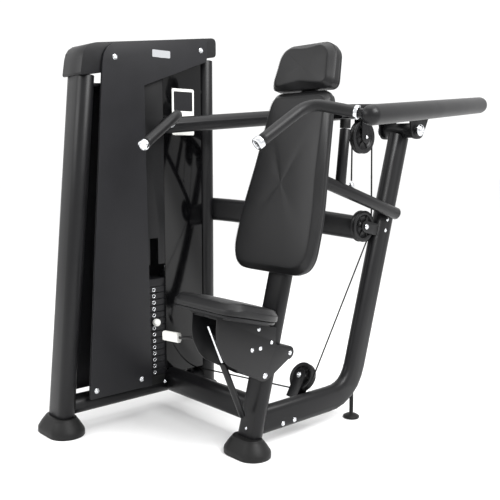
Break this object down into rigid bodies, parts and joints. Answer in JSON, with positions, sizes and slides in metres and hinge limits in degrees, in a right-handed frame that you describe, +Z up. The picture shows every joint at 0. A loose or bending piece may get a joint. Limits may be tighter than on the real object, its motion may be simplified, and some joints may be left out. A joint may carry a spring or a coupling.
{
  "type": "shoulder press machine",
  "caption": "Seated shoulder press gym machine: pivoting press arm with two handles, sliding seat, back pad, bent rear frame and a shrouded weight stack tower.",
  "frame": {"origin": "on the floor, under the middle of the seat post's foot", "axes": "+X to the user's left, +Y to the rear, +Z up"},
  "size_m": [1.2539, 1.386, 1.501],
  "materials": {
    "frame_steel": "satin black powder coat",
    "shroud_steel": "fine-texture charcoal powder coat",
    "acrylic": "gloss black acrylic sheet",
    "vinyl": "black upholstery vinyl",
    "rubber": "matt moulded rubber",
    "chrome": "polished chrome",
    "nylon": "moulded black nylon",
    "plate_steel": "black painted plates",
    "white_grip": "white moulded plastic",
    "cable": "black nylon-coated steel cable"
  },
  "bodies": {
    "root": {"seat_post_foot": "rubber", "seat_post": "frame_steel", "rear_frame": "frame_steel", "pivot_housing": "frame_steel", "levelling_foot": "rubber", "base_beam": "frame_steel", "mid_beam": "frame_steel", "strut_tube": "frame_steel", "stop_column": "frame_steel", "stop_bumper": "rubber", "tower_front_foot": "rubber", "tower_rear_foot": "rubber", "tower_front_upright": "frame_steel", "tower_rear_upright": "frame_steel", "tower_bottom_rail": "frame_steel", "tower_cap": "nylon", "shroud_panel": "shroud_steel", "slot_strip": "frame_steel", "gloss_panel": "acrylic", "back_panel": "shroud_steel", "stack_base": "rubber", "guide_rod_front": "chrome", "guide_rod_rear": "chrome", "resting_plates": "plate_steel", "crosshead": "frame_steel", "mid_pulley_fork": "frame_steel", "low_pulley_fork": "frame_steel", "tower_base_bracket": "frame_steel", "lift_cable_front": "cable", "lift_cable_rear": "cable", "transfer_cable": "cable", "stack_cable": "cable", "back_pad": "vinyl", "head_pad": "vinyl", "pad_bracket": "frame_steel"},
    "press_arm": {"press_arm_left": "frame_steel", "press_arm_right": "frame_steel", "grip_left": "rubber", "grip_right": "rubber", "cross_tube": "frame_steel", "lever_tube": "frame_steel", "pivot_yoke": "frame_steel", "arm_pulley_fork": "frame_steel", "lift_cable_wrap": "cable"},
    "arm_pulley": {"arm_pulley": "nylon"},
    "mid_pulley": {"mid_pulley": "nylon"},
    "low_pulley": {"low_pulley": "nylon"},
    "tower_base_pulley": {"tower_base_pulley": "nylon"},
    "top_pulley_front": {"top_pulley_front": "nylon"},
    "top_pulley_rear": {"top_pulley_rear": "nylon"},
    "weight_stack": {"selected_plates": "plate_steel", "top_plate": "plate_steel"},
    "selector_pin": {"selector_pin": "white_grip"},
    "seat": {"seat_pad": "vinyl", "seat_pan": "frame_steel", "seat_carriage": "frame_steel"},
    "seat_lever": {"seat_lever": "frame_steel", "seat_lever_grip": "white_grip"},
    "gas_cylinder": {"gas_spring_cylinder": "nylon"},
    "gas_rod": {"gas_spring_rod": "chrome"}
  },
  "joints": [
    {"name": "press_arm_hinge", "type": "hinge", "parent": "root", "child": "press_arm", "pos_m": [0, 0.828, 1.129], "axis": [-1, 0, 0], "range_deg": [0, 36], "deforming": ["lift_cable_front", "lift_cable_rear"]},
    {"name": "arm_pulley_spin", "type": "hinge", "parent": "press_arm", "child": "arm_pulley", "pos_m": [0, 0.588, 1.1], "axis": [1, 0, 0], "range_deg": [0, 187]},
    {"name": "mid_pulley_spin", "type": "hinge", "parent": "root", "child": "mid_pulley", "pos_m": [0, 0.598, 0.758], "axis": [1, 0, 0], "range_deg": [0, 311]},
    {"name": "low_pulley_spin", "type": "hinge", "parent": "root", "child": "low_pulley", "pos_m": [-0.058, 0.334, 0.196], "axis": [0, -0.8631, 0.505], "range_deg": [0, 348]},
    {"name": "tower_base_pulley_spin", "type": "hinge", "parent": "root", "child": "tower_base_pulley", "pos_m": [-0.616, 0.235, 0.171], "axis": [0, -1, 0], "range_deg": [0, 511]},
    {"name": "top_pulley_front_spin", "type": "hinge", "parent": "root", "child": "top_pulley_front", "pos_m": [-0.624, 0.068, 1.348], "axis": [-1, 0, 0], "range_deg": [0, 348]},
    {"name": "top_pulley_rear_spin", "type": "hinge", "parent": "root", "child": "top_pulley_rear", "pos_m": [-0.624, 0.185, 1.348], "axis": [-1, 0, 0], "range_deg": [0, 348]},
    {"name": "stack_lift", "type": "slide", "parent": "root", "child": "weight_stack", "axis": [0, 0, 1], "range_m": [0, 0.3056], "deforming": ["stack_cable"]},
    {"name": "pin_pull", "type": "slide", "parent": "weight_stack", "child": "selector_pin", "axis": [1, 0, 0], "range_m": [0, 0.06]},
    {"name": "seat_height", "type": "slide", "parent": "root", "child": "seat", "axis": [0, 0.2538, 0.9673], "range_m": [-0.09, 0.06]},
    {"name": "seat_lever_hinge", "type": "hinge", "parent": "seat", "child": "seat_lever", "pos_m": [-0.067, -0.15, 0.418], "axis": [0, 1, 0], "range_deg": [0, 9], "stiffness_Nm_per_rad": 2, "springref_deg": -20.05},
    {"name": "gas_spring_swing", "type": "hinge", "parent": "root", "child": "gas_cylinder", "pos_m": [0, -0.022, 0.142], "axis": [-1, 0, 0], "range_deg": [-12, 12]},
    {"name": "gas_spring_stroke", "type": "slide", "parent": "gas_cylinder", "child": "gas_rod", "axis": [0, -0.3983, 0.9172], "range_m": [-0.085, 0.06]}
  ],
  "couplings": [
    {"joint": "arm_pulley_spin", "follows": "press_arm_hinge", "ratio": 5.1379},
    {"joint": "mid_pulley_spin", "follows": "press_arm_hinge", "ratio": 8.5714},
    {"joint": "low_pulley_spin", "follows": "press_arm_hinge", "ratio": 9.6},
    {"joint": "tower_base_pulley_spin", "follows": "press_arm_hinge", "ratio": 14.118},
    {"joint": "top_pulley_front_spin", "follows": "press_arm_hinge", "ratio": 9.6},
    {"joint": "top_pulley_rear_spin", "follows": "press_arm_hinge", "ratio": 9.6},
    {"joint": "stack_lift", "follows": "press_arm_hinge", "m_per_rad": 0.48},
    {"joint": "gas_spring_swing", "follows": "seat_height", "rad_per_m": 1.6197},
    {"joint": "gas_spring_stroke", "follows": "seat_height", "ratio": 0.7861}
  ]
}
